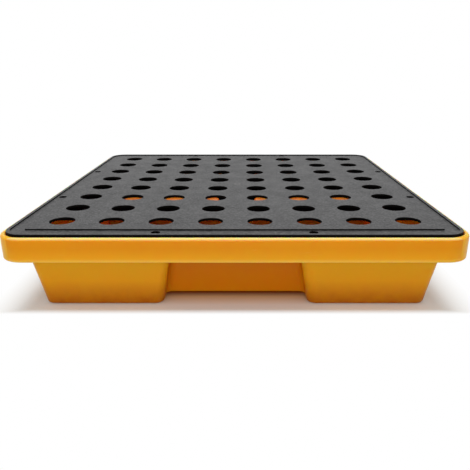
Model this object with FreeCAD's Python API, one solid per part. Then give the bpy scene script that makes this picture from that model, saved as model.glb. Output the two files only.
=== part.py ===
"""Low spill containment pallet for one drum: a moulded sump tray and the lift-off grate that decks it.

Millimetres, +Z up. The origin is on the floor, under the centre of the pallet. The front is -Y.
Each piece is one solid in its own STEP file in parts/.
"""
import FreeCAD, Part
import math
import os

# ---- overall ----------------------------------------------------------------------------------
PALLET_SIZE = 805.0        # square footprint, over the rim
PALLET_HEIGHT = 150.0      # floor to the top of the grate
WALL = 5.0                 # skin of the tray
DRAFT = 9.0                # degrees, slope of the sump walls

# ---- rim of the tray --------------------------------------------------------------------------
RIM_HEIGHT = 43.0          # lower edge of the skirt to the top of the rim
RIM_WIDTH = 8.0            # lip of the tray, round the grate
RIM_CORNER = 45.0          # plan radius of the pallet's corners
RIM_TOP_ROUND = 5.0
RIM_INNER_ROUND = 2.0
SKIRT_EDGE_ROUND = 2.2
RIM_OVERHANG = 37.5        # skirt's outer face to the sump wall, level with the skirt's lower edge
GRATE_PROUD = 4.0          # grate top above the rim top
GRATE_DEPTH = 13.5         # grate top to the ledge that it rests on
LEDGE_ROUND = 3.0

# ---- sump -------------------------------------------------------------------------------------
SUMP_CORNER = 17.0         # upright corners of the sump, outside
FOOT_ROUND = 5.5           # lower edge of the feet
FLOOR_ROUND = 3.0          # inside, floor to wall
BASE_RISE = 8.0            # base between the four feet stands this far off the floor

# ---- hand recess in the middle of each side ---------------------------------------------------
RECESS_HALF_WIDTH = 133.0  # at floor level; it narrows upwards
RECESS_DEPTH = 40.0
RECESS_DRAFT = 10.0        # degrees, slope of the two side walls
RECESS_ROOF_DROP = 4.5     # roof of the recess below the skirt's lower edge
RECESS_OUTER_ROUND = 16.0
RECESS_INNER_ROUND = 12.0

# ---- support ridges, moulded up from the base --------------------------------------------------
RIDGE_TOP_WIDTH = 60.0
RIDGE_DRAFT = 5.0
RIDGE_CENTRE_GAP = 76.0    # between the two ridges of a row, at their tops
RIDGE_END_GAP = 94.0       # end of a ridge to the sump's inner wall, at the tops
RIDGE_CORNER = 14.0
RIDGE_TOP_ROUND = 5.0
RIDGE_ROW = 2              # ridges stand under this row of holes, counted from each side from 0
FRONT_RIDGE_RISE = 4.0     # tops of the two front ridges above the ledge
NOTCH_MARGIN = 3.0         # round the front ridges, in the grate's ribs

# ---- grate ------------------------------------------------------------------------------------
GRATE_CLEARANCE = 1.5      # all round, between the grate and the rim
SEAT_CLEARANCE = 0.2       # under the grate
GRATE_CORNER = 36.0
LIP_WIDTH = 6.5
GUTTER_WIDTH = 24.5        # shallow channel inside the lip
GUTTER_DEPTH = 2.25
FIELD_CORNER = 3.0
PLATE = 5.0
RIB = 4.0
DEEP_RIB_DEPTH = 25.0      # grate top to the bottom of the ribs on the outer side of the ridges
MIDDLE_RIB_DEPTH = 21.0    # the same for the ribs between the two rows of ridges
DEEP_RIB_END_GAP = 11.0    # end of a deep rib to the sump's inner wall
HOLES_PER_ROW = 8
HOLE_DIAMETER = 45.0
FIELD_MARGIN = 4.0         # edge of the raised field to the first cell of holes
HOLE_ROUND = 1.0
LIP_ROUND = 1.5
DRAIN_DIAMETER = 16.0      # holes in the gutter, two to a side
DRAIN_CELL = 1.5           # cells from the middle of the side to each drain

# ---- worked out from the sizes above -----------------------------------------------------------
EPS = 1.0                  # how far a cutter runs past the face that it opens
HALF = PALLET_SIZE / 2.0
SLOPE = math.tan(math.radians(DRAFT))
RECESS_SLOPE = math.tan(math.radians(RECESS_DRAFT))
WALL_LEVEL = WALL / math.cos(math.radians(DRAFT))    # the skin measured level, through a sloped wall
RIM_TOP = PALLET_HEIGHT - GRATE_PROUD
SKIRT_BOTTOM = RIM_TOP - RIM_HEIGHT
LEDGE_TOP = PALLET_HEIGHT - GRATE_DEPTH
LEDGE_UNDER = LEDGE_TOP - WALL
ROOF = SKIRT_BOTTOM - RECESS_ROOF_DROP
BASE_HALF = HALF - RIM_OVERHANG - SKIRT_BOTTOM * SLOPE
RECESS_BACK = BASE_HALF - RECESS_DEPTH
POCKET_HALF = HALF - RIM_WIDTH
GRATE_HALF = POCKET_HALF - GRATE_CLEARANCE
POCKET_CORNER = GRATE_CORNER + GRATE_CLEARANCE
GUTTER_HALF = GRATE_HALF - LIP_WIDTH
FIELD_HALF = GUTTER_HALF - GUTTER_WIDTH
PITCH = 2.0 * (FIELD_HALF - FIELD_MARGIN) / HOLES_PER_ROW
FIRST_HOLE = -PITCH * (HOLES_PER_ROW - 1) / 2.0
RIDGE_Y = -(FIRST_HOLE + RIDGE_ROW * PITCH)
SUMP_INNER_TOP = BASE_HALF + LEDGE_TOP * SLOPE - WALL_LEVEL
RIDGE_X0 = RIDGE_CENTRE_GAP / 2.0
RIDGE_X1 = SUMP_INNER_TOP - RIDGE_END_GAP
RIDGE_SLOPE = math.tan(math.radians(RIDGE_DRAFT))
RIDGE_WALL_LEVEL = WALL / math.cos(math.radians(RIDGE_DRAFT))


def point(x, y, z):
    return FreeCAD.Vector(x, y, z)


def turned(shape, angle):
    """A copy of a shape, turned about the pallet's upright axis."""
    copy = shape.copy()
    copy.rotate(point(0, 0, 0), point(0, 0, 1), angle)
    return copy


def sump_half(z):
    """Half the width of the sump at a height, outside."""
    return BASE_HALF + z * SLOPE


def rounded_square(half, corner, bottom, top):
    """An upright square prism with round corners."""
    block = Part.makeBox(2 * half, 2 * half, top - bottom, point(-half, -half, bottom))
    uprights = [edge for edge in block.Edges if edge.BoundBox.ZLength > (top - bottom) / 2.0]
    return block.makeFillet(corner, uprights)


def tapered_box(low, high):
    """A solid between two level rectangles, each given as x0, x1, y0, y1, z."""
    rings = []
    for x0, x1, y0, y1, z in (low, high):
        rings.append([point(x0, y0, z), point(x1, y0, z), point(x1, y1, z), point(x0, y1, z)])
    lower, upper = rings
    outlines = [lower[::-1], upper]
    for side in range(4):
        following = (side + 1) % 4
        outlines.append([lower[side], lower[following], upper[following], upper[side]])
    faces = [Part.Face(Part.makePolygon(outline + [outline[0]])) for outline in outlines]
    return Part.Solid(Part.makeShell(faces))


def upright_edges(shape, near=None):
    """The sloped upright edges of a shape, or only those that a test of their middle point picks."""
    tall = shape.BoundBox.ZLength / 2.0
    edges = [edge for edge in shape.Edges if edge.BoundBox.ZLength > tall]
    if near is None:
        return edges
    return [edge for edge in edges if near(edge.BoundBox.Center)]


def level_edges(shape, z, near=None):
    """The edges of a shape that lie at one height."""
    edges = [edge for edge in shape.Edges
             if abs(edge.BoundBox.ZMin - z) < 0.01 and abs(edge.BoundBox.ZMax - z) < 0.01]
    if near is None:
        return edges
    return [edge for edge in edges if near(edge.BoundBox)]


# ---- sump tray --------------------------------------------------------------------------------

def legs(inset, level_inset, edge_round):
    """The lower part of the sump, with its four hand recesses, moved inwards by a skin's thickness."""
    floor = inset
    roof = ROOF + inset
    low_half = sump_half(floor) - level_inset
    high_half = sump_half(roof) - level_inset
    block = tapered_box((-low_half, low_half, -low_half, low_half, floor),
                        (-high_half, high_half, -high_half, high_half, roof))

    def recess_section(z):
        width = RECESS_HALF_WIDTH - z * RECESS_SLOPE + level_inset
        back = RECESS_BACK + z * SLOPE - level_inset
        return (-width, width, -HALF, -back, z)

    recess = tapered_box(recess_section(floor - EPS), recess_section(roof + EPS))
    for side in range(4):
        block = block.cut(turned(recess, 90 * side))

    middle = (floor + roof) / 2.0
    outer = sump_half(middle) - level_inset

    def at_sump_corner(centre):
        return min(abs(centre.x), abs(centre.y)) > outer - EPS

    def at_recess_mouth(centre):
        return max(abs(centre.x), abs(centre.y)) > outer - EPS and not at_sump_corner(centre)

    def in_recess(centre):
        return max(abs(centre.x), abs(centre.y)) < outer - EPS

    block = block.makeFillet(SUMP_CORNER - inset, upright_edges(block, at_sump_corner))
    block = block.makeFillet(RECESS_OUTER_ROUND - inset, upright_edges(block, at_recess_mouth))
    block = block.makeFillet(RECESS_INNER_ROUND + inset, upright_edges(block, in_recess))
    return block.makeFillet(edge_round, level_edges(block, floor))


def collar(inset, level_inset, top):
    """The upper part of the sump, above the roofs of the recesses."""
    roof = ROOF + inset
    low_half = sump_half(roof) - level_inset
    high_half = sump_half(top) - level_inset
    block = tapered_box((-low_half, low_half, -low_half, low_half, roof),
                        (-high_half, high_half, -high_half, high_half, top))
    return block.makeFillet(SUMP_CORNER - inset, upright_edges(block))


def base_channels(reach, skin, level_skin):
    """The crossed space under the raised part of the base, grown by a skin's thickness."""
    def section(z):
        half = RECESS_HALF_WIDTH - z * RECESS_SLOPE + level_skin
        return (-half, half, -reach, reach, z)

    along = tapered_box(section(-EPS), section(BASE_RISE + skin))
    return along.fuse(turned(along, 90))


def ridge(side, foot, inset=0.0, level_inset=0.0):
    """One support ridge with a flat top, at +X; side is 1 for the rear, -1 for the front."""
    full_top = LEDGE_TOP if side > 0 else LEDGE_TOP + FRONT_RIDGE_RISE

    def section(z):
        grown = (LEDGE_TOP - z) * RIDGE_SLOPE - level_inset
        half = RIDGE_TOP_WIDTH / 2.0 + grown
        return (RIDGE_X0 - grown, RIDGE_X1 + grown, side * RIDGE_Y - half, side * RIDGE_Y + half, z)

    block = tapered_box(section(foot), section(full_top - inset))
    block = block.makeFillet(RIDGE_CORNER - inset, upright_edges(block))
    if inset == 0:
        block = block.makeFillet(RIDGE_TOP_ROUND, level_edges(block, full_top))
    return block


def with_mirror(shape):
    """A shape at +X and its mirror image at -X."""
    return [shape, shape.mirror(point(0, 0, 0), point(1, 0, 0))]


def rim():
    """The rim with its hanging skirt, still closed across the top of the sump."""
    block = rounded_square(HALF, RIM_CORNER, SKIRT_BOTTOM, RIM_TOP)
    block = block.makeFillet(RIM_TOP_ROUND, level_edges(block, RIM_TOP))
    hollow = rounded_square(HALF - WALL, RIM_CORNER - WALL, SKIRT_BOTTOM - EPS, LEDGE_UNDER)
    block = block.cut(hollow)
    return block.makeFillet(SKIRT_EDGE_ROUND, level_edges(block, SKIRT_BOTTOM))


def sump_tray():
    outside = rim().fuse([legs(0.0, 0.0, FOOT_ROUND), collar(0.0, 0.0, LEDGE_UNDER)])
    outside = outside.cut(base_channels(HALF, 0.0, 0.0))
    for side in (1, -1):
        outside = outside.cut(with_mirror(ridge(side, -EPS, WALL, RIDGE_WALL_LEVEL)))

    inside = legs(WALL, WALL_LEVEL, FLOOR_ROUND).fuse(collar(WALL, WALL_LEVEL, LEDGE_TOP))
    inside = inside.cut(base_channels(RECESS_BACK, WALL, WALL_LEVEL))
    pocket = rounded_square(POCKET_HALF, POCKET_CORNER, LEDGE_TOP, RIM_TOP + EPS)
    for side in (1, -1):
        ridges = with_mirror(ridge(side, 0.0))
        inside = inside.cut(ridges)
        pocket = pocket.cut(ridges)

    tray = outside.cut(inside).cut(pocket).removeSplitter()

    def round_pocket(box):
        return max(box.XMax, box.YMax, -box.XMin, -box.YMin) < POCKET_HALF + 0.01

    tray = tray.makeFillet(RIM_INNER_ROUND, level_edges(tray, RIM_TOP, round_pocket))
    return tray.makeFillet(LEDGE_ROUND, level_edges(tray, LEDGE_TOP, sump_edge))


def sump_edge(box):
    """True for an edge of the ledge on its sump side: not out at the pocket's wall, nor on a ridge."""
    reach = max(box.XMax, box.YMax, -box.XMin, -box.YMin)
    return SUMP_INNER_TOP - SUMP_CORNER < reach < SUMP_INNER_TOP + 0.01


# ---- deck grate -------------------------------------------------------------------------------

def grate_ribs():
    """Ribs under the plate, between the rows and between the columns of holes.

    All the ribs along X but the front one hang down past the ledge, inside the sump.
    """
    bottom = LEDGE_TOP + SEAT_CLEARANCE
    top = PALLET_HEIGHT - GUTTER_DEPTH - PLATE / 2.0
    span = 2 * GUTTER_HALF + LIP_WIDTH
    deep_span = 2 * (SUMP_INNER_TOP - DEEP_RIB_END_GAP)
    ribs = []
    for index in range(1, HOLES_PER_ROW):
        place = FIRST_HOLE + (index - 0.5) * PITCH
        rib = Part.makeBox(span, RIB, top - bottom, point(-span / 2, place - RIB / 2, bottom))
        ribs.append(rib)
        ribs.append(turned(rib, 90))
        if place > -(RIDGE_Y + PITCH):
            depth = DEEP_RIB_DEPTH if abs(place) > RIDGE_Y else MIDDLE_RIB_DEPTH
            corner = point(-deep_span / 2, place - RIB / 2, PALLET_HEIGHT - depth)
            ribs.append(Part.makeBox(deep_span, RIB, top - PALLET_HEIGHT + depth, corner))
    return ribs


def rib_notches():
    """The cutters that let the ribs down over the two front ridges."""
    bottom = PALLET_HEIGHT - DEEP_RIB_DEPTH - EPS
    top = LEDGE_TOP + FRONT_RIDGE_RISE + SEAT_CLEARANCE
    length = RIDGE_X1 - RIDGE_X0 + 2 * NOTCH_MARGIN
    width = RIDGE_TOP_WIDTH + 2 * NOTCH_MARGIN
    corner = point(RIDGE_X0 - NOTCH_MARGIN, -RIDGE_Y - width / 2, bottom)
    return with_mirror(Part.makeBox(length, width, top - bottom, corner))


def grate_holes():
    """The cutters for the round holes of the field, and for the drains in the gutter."""
    low = LEDGE_TOP - EPS
    depth = PALLET_HEIGHT - low + EPS
    holes = []
    for row in range(HOLES_PER_ROW):
        for column in range(HOLES_PER_ROW):
            centre = point(FIRST_HOLE + column * PITCH, FIRST_HOLE + row * PITCH, low)
            holes.append(Part.makeCylinder(HOLE_DIAMETER / 2.0, depth, centre))
    gutter_middle = GUTTER_HALF - GUTTER_WIDTH / 2.0
    for along in (-DRAIN_CELL * PITCH, DRAIN_CELL * PITCH):
        drain = Part.makeCylinder(DRAIN_DIAMETER / 2.0, depth, point(along, -gutter_middle, low))
        for side in range(4):
            holes.append(turned(drain, 90 * side))
    return holes


def deck_grate():
    bottom = LEDGE_TOP + SEAT_CLEARANCE
    gutter_top = PALLET_HEIGHT - GUTTER_DEPTH
    gutter_corner = GRATE_CORNER - LIP_WIDTH
    block = rounded_square(GRATE_HALF, GRATE_CORNER, bottom, PALLET_HEIGHT)
    block = block.makeFillet(LIP_ROUND, level_edges(block, PALLET_HEIGHT))
    gutter = rounded_square(GUTTER_HALF, gutter_corner, gutter_top, PALLET_HEIGHT + EPS)
    field = rounded_square(FIELD_HALF, FIELD_CORNER, gutter_top - EPS, PALLET_HEIGHT + 2 * EPS)
    block = block.cut(gutter.cut(field))
    under_gutter = rounded_square(GUTTER_HALF, gutter_corner, bottom - EPS, gutter_top - PLATE)
    under_field = rounded_square(FIELD_HALF - PLATE, FIELD_CORNER, bottom - EPS, PALLET_HEIGHT - PLATE)
    edge_rib = rounded_square(FIELD_HALF - PLATE + RIB, FIELD_CORNER, bottom - EPS, gutter_top)
    block = block.cut([under_gutter.cut(edge_rib), under_field])
    block = block.fuse(grate_ribs()).removeSplitter()
    block = block.cut(rib_notches() + grate_holes())

    def round_hole(box):
        return abs(box.XLength - HOLE_DIAMETER) < 0.01 and abs(box.YLength - HOLE_DIAMETER) < 0.01

    return block.makeFillet(HOLE_ROUND, level_edges(block, PALLET_HEIGHT, round_hole))


def main():
    os.makedirs("parts", exist_ok=True)
    pieces = {"sump_tray": sump_tray(), "deck_grate": deck_grate()}
    for name, shape in pieces.items():
        solids = shape.Solids
        if len(solids) != 1 or not shape.isValid():
            raise ValueError(name + " is not one valid solid")
        solids[0].exportStep("parts/" + name + ".step")
        print(name, "%.2f litres of plastic" % (shape.Volume / 1e6))


main()
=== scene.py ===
"""Studio scene for a low spill containment pallet: a moulded sump tray decked by a lift-off grate.

Metres, in the CAD model's frame: +Z up, the front at -Y, the origin on the floor under the middle.
"""
import math

import bmesh
import bpy
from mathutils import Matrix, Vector


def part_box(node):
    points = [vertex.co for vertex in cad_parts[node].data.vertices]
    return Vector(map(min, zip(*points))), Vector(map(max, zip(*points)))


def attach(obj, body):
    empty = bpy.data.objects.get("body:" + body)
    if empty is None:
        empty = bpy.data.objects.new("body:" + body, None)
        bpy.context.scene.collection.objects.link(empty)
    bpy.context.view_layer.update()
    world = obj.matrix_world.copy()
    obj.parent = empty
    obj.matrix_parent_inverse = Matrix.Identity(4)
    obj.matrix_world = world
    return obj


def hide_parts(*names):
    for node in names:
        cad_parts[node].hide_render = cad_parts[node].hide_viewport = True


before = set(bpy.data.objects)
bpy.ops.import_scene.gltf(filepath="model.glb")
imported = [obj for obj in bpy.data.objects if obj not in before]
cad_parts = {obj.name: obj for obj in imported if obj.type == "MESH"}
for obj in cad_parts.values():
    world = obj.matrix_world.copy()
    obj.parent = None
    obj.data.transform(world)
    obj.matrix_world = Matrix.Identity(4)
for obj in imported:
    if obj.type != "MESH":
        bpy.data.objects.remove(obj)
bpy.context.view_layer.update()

MM = 0.001
WHITE = (1.0, 1.0, 1.0, 1.0)

# ---- camera -------------------------------------------------------------------------------------
CAMERA_PLACE = (0.0149, -1.1664, 0.4144)
CAMERA_TILT = math.radians(90.0 - 18.91)     # from straight down
CAMERA_LENS = 37.745
CAMERA_SHIFT_X = -0.018

# ---- grate: how it lies in use ------------------------------------------------------------------
SAG = 4.6 * MM                               # how far the middle of the deck has sunk
SAG_REACH = 0.385                            # half-span over which it sinks
STRIP = 22.0 * MM                            # width of the strips that let the flat faces bend
RIB_FLOOR = 9.2 * MM                         # below this depth, the ribs rest on the tray and stay put
PLATE_DEPTH = 7.0 * MM                       # above this depth, the whole plate moves with the sag

# ---- tray: colours, painted light and shade, and where they change ------------------------------
RIM_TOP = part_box("sump_tray")[1].z
RIM_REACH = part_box("sump_tray")[1].x         # middle to the outer face of the skirt
SKIRT_BOTTOM = RIM_TOP - 43.0 * MM
SKIRT_INSIDE = RIM_REACH - 6.5 * MM
SUMP_SLOPE = math.tan(math.radians(9.0))     # of the sump's walls
LEG_BASE = 336.0 * MM                        # a wall whose foot is nearer the middle is in a recess
RECESS_BASE = 306.5 * MM                     # and nearer than this, it is inside the sump
FOOT_REACH = 50.0 * MM
TRAY_COLOUR = (0.78, 0.285, 0.003, 1.0)
TRAY_PALE = (0.86, 0.36, 0.006, 1.0)
TRAY_DEEP = (0.66, 0.18, 0.002, 1.0)
TRAY_LOW_LIGHT = (0.93, 0.405, 0.012, 1.0)         # painted light: paler towards the skirt's lower edge
TRAY_EDGE_HIGHLIGHT = (0.99, 0.50, 0.07, 1.0)          # painted highlight along the lower edge itself
TRAY_CREST_HIGHLIGHT = (0.98, 0.72, 0.27, 1.0)         # painted highlight along the top of the rim
TRAY_LEG_LIGHT = (0.90, 0.445, 0.012, 1.0)         # painted light: paler on the legs under the rim
TRAY_FOOT_SHADE = (0.37, 0.085, 0.001, 1.0)        # painted shade: darker down at the feet
# painted shade: darker in the recesses between the legs
TRAY_RECESS_SHADE = (0.66, 0.20, 0.001, 1.0)
TRAY_INSIDE_GLOW = (0.86, 0.23, 0.020, 1.0)       # painted light: a brighter, redder glow inside the sump
TRAY_RIDGE_SHADE = (0.52, 0.13, 0.010, 1.0)        # painted shade up at the tops of the ridges, under the grate
TRAY_SCUFF = (0.86, 0.55, 0.14, 1.0)

# ---- grate: colours and faces -------------------------------------------------------------------
GRATE_COLOUR = (0.012, 0.012, 0.013, 1.0)
GRATE_PALE = (0.086, 0.085, 0.086, 1.0)
GRATE_DUST = (0.26, 0.255, 0.25, 1.0)
# painted shade: the grate's sides, a darker copy of its black
GRATE_SHADED_SIDE = (0.0008, 0.0008, 0.0008, 1.0)
GRATE_SHADED_SIDE_PALE = (0.003, 0.0025, 0.002, 1.0)
GATE_MARK = 8.0 * MM                         # radius of the moulding's mark in the middle of the deck
LEVEL_ENOUGH = 0.75                          # faces with a steeper normal than this are pebbled; the rest get the darker, painted-shade side finish
SHARP_ANGLE = math.radians(32.0)

# ---- studio -------------------------------------------------------------------------------------
FLOOR_HALF = 6.0                             # middle to edge
FLOOR_COLOUR = (0.45, 0.45, 0.45, 1.0)       # as it lights the pallet
FLOOR_SEEN = (0.92, 0.94, 0.91, 1.0)         # as the camera and reflections see it
FLOOR_WARM_SHADE = (0.66, 0.52, 0.30, 1.0)         # painted shade close to the tray, warmed by the tray's colour
FLOOR_UNDER_SHADOW = (0.42, 0.09, 0.01, 1.0)        # painted shadow, dark red, under the tray
UNDER_REACH = 0.298
WARM_REACH = 0.316
PLAIN_REACH = 0.352
FADE_X = (0.370, 0.450)                      # the floor fades to plain white between these distances
FADE_Y = (0.370, 0.388)
WORLD_LIGHT = 0.62
LAMPS = (                                    # name, place, target, size, power
    ("overhead", (0.0, 0.2, 2.2), (0.0, 0.0, 0.0), 1.5, 28.0),
    ("front", (-0.1, -2.0, 0.55), (0.0, 0.0, 0.08), 0.8, 10.5),
)


class Nodes:
    """A short way to add nodes to their owner, a material or a world, and to join them up."""

    def __init__(self, owner, output="ShaderNodeOutputMaterial"):
        self.owner = owner
        owner.use_nodes = True
        self.tree = owner.node_tree
        self.tree.nodes.clear()
        self.output = self.add(output)

    def add(self, kind, inputs=None, **settings):
        node = self.tree.nodes.new(kind)
        for key, value in settings.items():
            setattr(node, key, value)
        for key, value in (inputs or {}).items():
            if isinstance(value, bpy.types.NodeSocket):
                self.tree.links.new(value, node.inputs[key])
            else:
                node.inputs[key].default_value = value
        return node

    def place(self, scale=(1.0, 1.0, 1.0)):
        """Object coordinates, stretched."""
        coordinates = self.add("ShaderNodeTexCoord")
        mapping = self.add("ShaderNodeMapping", {"Vector": coordinates.outputs["Object"], "Scale": scale})
        return mapping.outputs["Vector"]

    def noise(self, vector, scale, detail=4.0, roughness=0.5):
        node = self.add("ShaderNodeTexNoise", {"Vector": vector, "Scale": scale, "Detail": detail,
                                               "Roughness": roughness})
        return node.outputs["Fac"]

    def ramp(self, value, low, high, bottom=0.0, top=1.0):
        """A value stretched so that low gives bottom and high gives top, and held beyond them."""
        node = self.add("ShaderNodeMapRange", {"Value": value, "From Min": low, "From Max": high,
                                               "To Min": bottom, "To Max": top})
        return node.outputs["Result"]

    def math(self, operation, first, second):
        return self.add("ShaderNodeMath", {0: first, 1: second}, operation=operation).outputs[0]

    def blend(self, amount, first, second):
        """A mix of two colours; amount 0 gives the first."""
        node = self.add("ShaderNodeMix", {0: amount, 6: first, 7: second}, data_type="RGBA")
        return node.outputs[2]

    def bump(self, height, strength, distance, normal=None):
        inputs = {"Height": height, "Strength": strength, "Distance": distance}
        if normal is not None:
            inputs["Normal"] = normal
        return self.add("ShaderNodeBump", inputs).outputs["Normal"]

    def axes(self):
        """A point's three object coordinates, one socket each."""
        return self.add("ShaderNodeSeparateXYZ", {"Vector": self.place()}).outputs

    def seen(self):
        """1 for what is seen, straight, by reflection or through glass, and 0 for what gives light."""
        rays = self.add("ShaderNodeLightPath").outputs
        seen = self.math("MAXIMUM", rays["Is Camera Ray"], rays["Is Glossy Ray"])
        return self.math("MAXIMUM", seen, rays["Is Transmission Ray"])

    def end(self, shader):
        self.tree.links.new(shader.outputs[0], self.output.inputs["Surface"])
        return self.owner

    def surface(self, inputs):
        return self.end(self.add("ShaderNodeBsdfPrincipled", inputs))


def material(name):
    return Nodes(bpy.data.materials.new(name))


def tray_plastic():
    """Satin rotomoulded polyethylene: mottled colour, orange peel, slow waves and scuffed edges, with
    painted light on the lower skirt and legs, painted highlights on the lower edge and crest, a painted
    glow inside the sump, and painted shade at the feet, in the recesses and on the ridge tops.
    """
    n = material("tray_polyethylene")
    place = n.place()
    broad = n.noise(place, 5.0, 3.0)
    mottle = n.noise(place, 55.0, 5.0, 0.6)
    grain = n.noise(place, 900.0, 2.0)

    colour = n.blend(n.ramp(broad, 0.3, 0.7, 0.0, 0.4), TRAY_COLOUR, TRAY_PALE)
    colour = n.blend(n.ramp(mottle, 0.45, 0.8, 0.0, 0.10), colour, TRAY_DEEP)
    x, y, z = n.axes()
    reach = n.math("MAXIMUM", n.math("ABSOLUTE", x, 0.0), n.math("ABSOLUTE", y, 0.0))
    skirt = n.ramp(reach, SKIRT_INSIDE, SKIRT_INSIDE + MM)
    # painted light: the skirt paler towards its lower edge
    painted_low_skirt_light = n.math("MULTIPLY", skirt, n.ramp(z, SKIRT_BOTTOM + 26 * MM, SKIRT_BOTTOM))
    colour = n.blend(painted_low_skirt_light, colour, TRAY_LOW_LIGHT)
    # painted highlight: a pale band along the skirt's lower edge
    painted_lip_highlight = n.math("MULTIPLY", skirt, n.ramp(z, SKIRT_BOTTOM + 7 * MM, SKIRT_BOTTOM + 2 * MM))
    colour = n.blend(painted_lip_highlight, colour, TRAY_EDGE_HIGHLIGHT)
    # painted highlight: a pale band along the top of the rim
    painted_crest_highlight = n.math("MULTIPLY", skirt, n.ramp(z, RIM_TOP - 4 * MM, RIM_TOP - 1 * MM, 0.0, 0.8))
    colour = n.blend(painted_crest_highlight, colour, TRAY_CREST_HIGHLIGHT)

    base = n.math("SUBTRACT", reach, n.math("MULTIPLY", z, SUMP_SLOPE))
    # painted light: the legs paler just under the rim, less so further down
    painted_leg_light = n.ramp(z, SKIRT_BOTTOM, FOOT_REACH, 0.8, 0.3)
    colour = n.blend(n.math("MULTIPLY", painted_leg_light, n.ramp(skirt, 1.0, 0.0)), colour, TRAY_LEG_LIGHT)
    # painted shade: darker towards the feet
    painted_foot_shade = n.math("MULTIPLY", n.ramp(z, FOOT_REACH, 0.0), n.ramp(mottle, 0.3, 0.7, 0.8, 1.0))
    colour = n.blend(painted_foot_shade, colour, TRAY_FOOT_SHADE)
    # painted shade: the recess walls darker
    colour = n.blend(n.ramp(base, LEG_BASE, LEG_BASE - 8 * MM), colour, TRAY_RECESS_SHADE)
    # painted light: inside the sump, a glow as of light through its walls
    inside = n.ramp(base, RECESS_BASE, RECESS_BASE - MM)
    colour = n.blend(inside, colour, TRAY_INSIDE_GLOW)
    # painted shade: the ridges' tops darker under the grate
    painted_ridge_shade = n.math("MULTIPLY", inside, n.ramp(z, RIM_TOP - 24 * MM, RIM_TOP - 10 * MM))
    colour = n.blend(painted_ridge_shade, colour, TRAY_RIDGE_SHADE)

    streaks = n.noise(n.place((12.0, 12.0, 260.0)), 3.0, 6.0, 0.65)
    patches = n.noise(place, 14.0, 2.0)
    scuffed = n.math("MULTIPLY", n.ramp(streaks, 0.62, 0.72), n.ramp(patches, 0.52, 0.64))
    colour = n.blend(n.math("MULTIPLY", scuffed, 0.35), colour, TRAY_SCUFF)

    gloss = n.ramp(mottle, 0.3, 0.7, 0.30, 0.38)
    gloss = n.math("ADD", gloss, n.math("MULTIPLY", scuffed, 0.14))
    waves = n.bump(broad, 0.3, 3.0 * MM)
    skin = n.bump(mottle, 0.15, 0.3 * MM, waves)
    peel = n.bump(grain, 0.2, 0.12 * MM, skin)
    return n.surface({"Base Color": colour, "Roughness": gloss, "Normal": peel,
                      "Specular IOR Level": 0.14,
                      "Subsurface Weight": 0.7, "Subsurface Radius": (1.0, 0.35, 0.03),
                      "Subsurface Scale": 16.0 * MM})


def grate_shaded_side_plastic():
    """The same black polyethylene where it is smooth, on walls, holes and ribs, in a darker copy: painted
    shade.
    """
    n = material("grate_polyethylene_shaded_side")
    place = n.place()
    patches = n.noise(place, 45.0, 5.0, 0.6)
    colour = n.blend(n.ramp(patches, 0.35, 0.75), GRATE_SHADED_SIDE, GRATE_SHADED_SIDE_PALE)
    drawn = n.bump(n.noise(n.place((1.0, 1.0, 0.12)), 420.0, 3.0), 0.2, 0.12 * MM)
    return n.surface({"Base Color": colour, "Roughness": n.ramp(patches, 0.3, 0.7, 0.5, 0.62),
                      "Normal": drawn, "Specular IOR Level": 0.04})


def grate_plastic():
    """Black polyethylene with a fine pebbled top, faint dust and rubbed patches."""
    n = material("grate_polyethylene")
    place = n.place()
    pebbles = n.add("ShaderNodeTexVoronoi", {"Vector": place, "Scale": 260.0}, feature="SMOOTH_F1")
    pebbles = pebbles.outputs["Distance"]
    grit = n.noise(place, 240.0, 3.0, 0.6)
    speck = n.noise(place, 620.0, 2.0, 0.5)
    broad = n.noise(place, 7.0, 4.0)
    patches = n.noise(place, 30.0, 5.0, 0.6)

    colour = n.blend(n.ramp(grit, 0.42, 0.60), GRATE_COLOUR, GRATE_PALE)
    colour = n.blend(n.ramp(pebbles, 0.1, 0.6, 0.0, 0.6), colour, GRATE_COLOUR)
    dust = n.math("MULTIPLY", n.ramp(speck, 0.58, 0.72), n.ramp(broad, 0.35, 0.7, 0.3, 0.8))
    colour = n.blend(n.math("MULTIPLY", dust, 0.5), colour, GRATE_DUST)
    gate = n.add("ShaderNodeVectorMath", {0: n.place((1.0, 1.0, 0.0))}, operation="LENGTH")
    gate = gate.outputs["Value"]
    outside = n.ramp(gate, GATE_MARK * 0.55, GATE_MARK * 0.8)
    ring = n.math("MULTIPLY", outside, n.ramp(gate, GATE_MARK, GATE_MARK * 0.85))
    mark = n.math("MULTIPLY", ring, n.ramp(speck, 0.4, 0.6, 0.1, 0.7))
    colour = n.blend(mark, colour, GRATE_DUST)

    gloss = n.ramp(patches, 0.3, 0.7, 0.42, 0.54)
    texture = n.bump(pebbles, 0.6, 0.7 * MM)
    texture = n.bump(grit, 0.4, 0.4 * MM, texture)
    return n.surface({"Base Color": colour, "Roughness": gloss, "Normal": texture,
                      "Specular IOR Level": 0.24})


def smooth(mesh):
    """Smooth shading, with an edge kept wherever two faces meet at more than the sharp angle."""
    form = bmesh.new()
    form.from_mesh(mesh)
    for face in form.faces:
        face.smooth = True
    for edge in form.edges:
        edge.smooth = edge.calc_face_angle(0.0) < SHARP_ANGLE
    form.to_mesh(mesh)
    form.free()


def sunk(x, y):
    """How far the deck has sunk at a point of its plan."""
    across = max(0.0, 1.0 - (x / SAG_REACH) ** 2)
    along = max(0.0, 1.0 - (y / SAG_REACH) ** 2)
    return SAG * across * along


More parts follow.
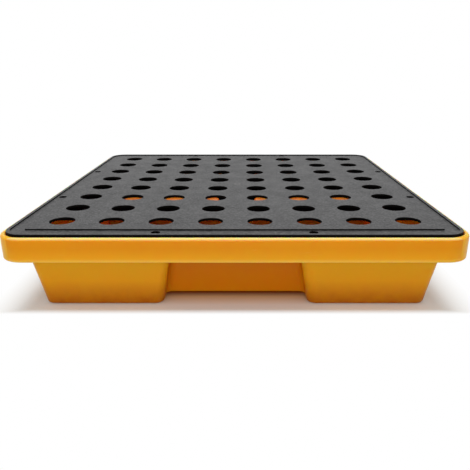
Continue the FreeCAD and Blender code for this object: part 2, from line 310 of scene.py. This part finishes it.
def sagged_deck(node, body):
    """The grate as it lies in use: the CAD grate's own surfaces, with the plate sunk in the middle."""
    low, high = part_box("deck_grate")
    form = bmesh.new()
    form.from_mesh(node.data)
    bmesh.ops.remove_doubles(form, verts=form.verts, dist=1e-6)
    steps = int((high.x - low.x) / STRIP)
    for axis in (0, 1):
        for step in range(1, steps):
            place = Vector((0.0, 0.0, 0.0))
            place[axis] = low[axis] + (high[axis] - low[axis]) * step / steps
            normal = Vector((0.0, 0.0, 0.0))
            normal[axis] = 1.0
            parts = form.verts[:] + form.edges[:] + form.faces[:]
            bmesh.ops.bisect_plane(form, geom=parts, dist=1e-7, plane_co=place, plane_no=normal)
    for vertex in form.verts:
        depth = high.z - vertex.co.z
        share = min(1.0, max(0.0, (RIB_FLOOR - depth) / (RIB_FLOOR - PLATE_DEPTH)))
        vertex.co.z -= share * sunk(vertex.co.x, vertex.co.y)
    mesh = bpy.data.meshes.new("deck")
    form.to_mesh(mesh)
    form.free()
    smooth(mesh)
    deck = bpy.data.objects.new("deck", mesh)
    bpy.context.scene.collection.objects.link(deck)
    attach(deck, body)
    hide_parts("deck_grate")
    return deck


def floor():
    """A white floor that keeps the pallet's shadow, with a warm painted shade close to the tray and a
    dark red painted shadow under it, and fades to plain white a little way off.
    """
    mesh = bpy.data.meshes.new("floor")
    signs = ((-1, -1), (1, -1), (1, 1), (-1, 1))
    mesh.from_pydata([(a * FLOOR_HALF, b * FLOOR_HALF, 0.0) for a, b in signs], [], [(0, 1, 2, 3)])
    item = bpy.data.objects.new("floor", mesh)
    bpy.context.scene.collection.objects.link(item)

    n = material("studio_floor")
    seen = n.seen()
    x, y, z = n.axes()
    beside = n.math("ABSOLUTE", x, 0.0)
    before = n.math("ABSOLUTE", y, 0.0)
    reach = n.math("MAXIMUM", beside, before)
    # painted shadow under the tray, and warm painted shade close to it
    shade = n.blend(n.ramp(reach, UNDER_REACH, WARM_REACH), FLOOR_UNDER_SHADOW, FLOOR_WARM_SHADE)
    shade = n.blend(n.ramp(reach, WARM_REACH, PLAIN_REACH), shade, FLOOR_SEEN)
    shade = n.blend(seen, FLOOR_COLOUR, shade)
    near = n.add("ShaderNodeBsdfDiffuse", {"Color": shade})
    far = n.add("ShaderNodeEmission", {"Color": WHITE, "Strength": 1.0})
    away = n.math("MAXIMUM", n.ramp(beside, *FADE_X), n.ramp(before, *FADE_Y))
    away = n.math("MULTIPLY", away, seen)
    both = n.add("ShaderNodeMixShader", {0: away, 1: near.outputs[0], 2: far.outputs[0]})
    mesh.materials.append(n.end(both))


def surround():
    """White where it is seen, and dimmer where it lights the pallet."""
    world = bpy.data.worlds.new("studio_surround")
    bpy.context.scene.world = world
    n = Nodes(world, "ShaderNodeOutputWorld")
    strength = n.ramp(n.seen(), 0.0, 1.0, WORLD_LIGHT, 1.0)
    n.end(n.add("ShaderNodeBackground", {"Color": WHITE, "Strength": strength}))


def lamp(name, place, target, size, power):
    light = bpy.data.lights.new(name, "AREA")
    light.shape = "SQUARE"
    light.size = size
    light.energy = power
    holder = bpy.data.objects.new(name, light)
    holder.location = place
    towards = Vector(target) - Vector(place)
    holder.rotation_euler = towards.to_track_quat("-Z", "Y").to_euler()
    bpy.context.scene.collection.objects.link(holder)


def camera():
    data = bpy.data.cameras.new("camera")
    data.lens = CAMERA_LENS
    data.shift_x = CAMERA_SHIFT_X
    holder = bpy.data.objects.new("camera", data)
    holder.location = CAMERA_PLACE
    holder.rotation_euler = (CAMERA_TILT, 0.0, 0.0)
    bpy.context.scene.collection.objects.link(holder)
    bpy.context.scene.camera = holder


def dress(item, *finishes):
    """Puts one finish on a piece, or a first one on its level faces and a second on its sides."""
    mesh = item.data
    mesh.materials.clear()
    for finish in finishes:
        mesh.materials.append(finish)
    if len(finishes) == 2:
        for face in mesh.polygons:
            face.material_index = 0 if face.normal.z > LEVEL_ENOUGH else 1


bpy.context.scene.view_settings.view_transform = "Standard"
camera()
floor()
surround()
for settings in LAMPS:
    lamp(*settings)
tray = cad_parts["sump_tray"]
smooth(tray.data)
dress(tray, tray_plastic())
deck = sagged_deck(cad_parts["deck_grate"], "grate")
# the grate's sides get the darker copy, a painted shade
dress(deck, grate_plastic(), grate_shaded_side_plastic())
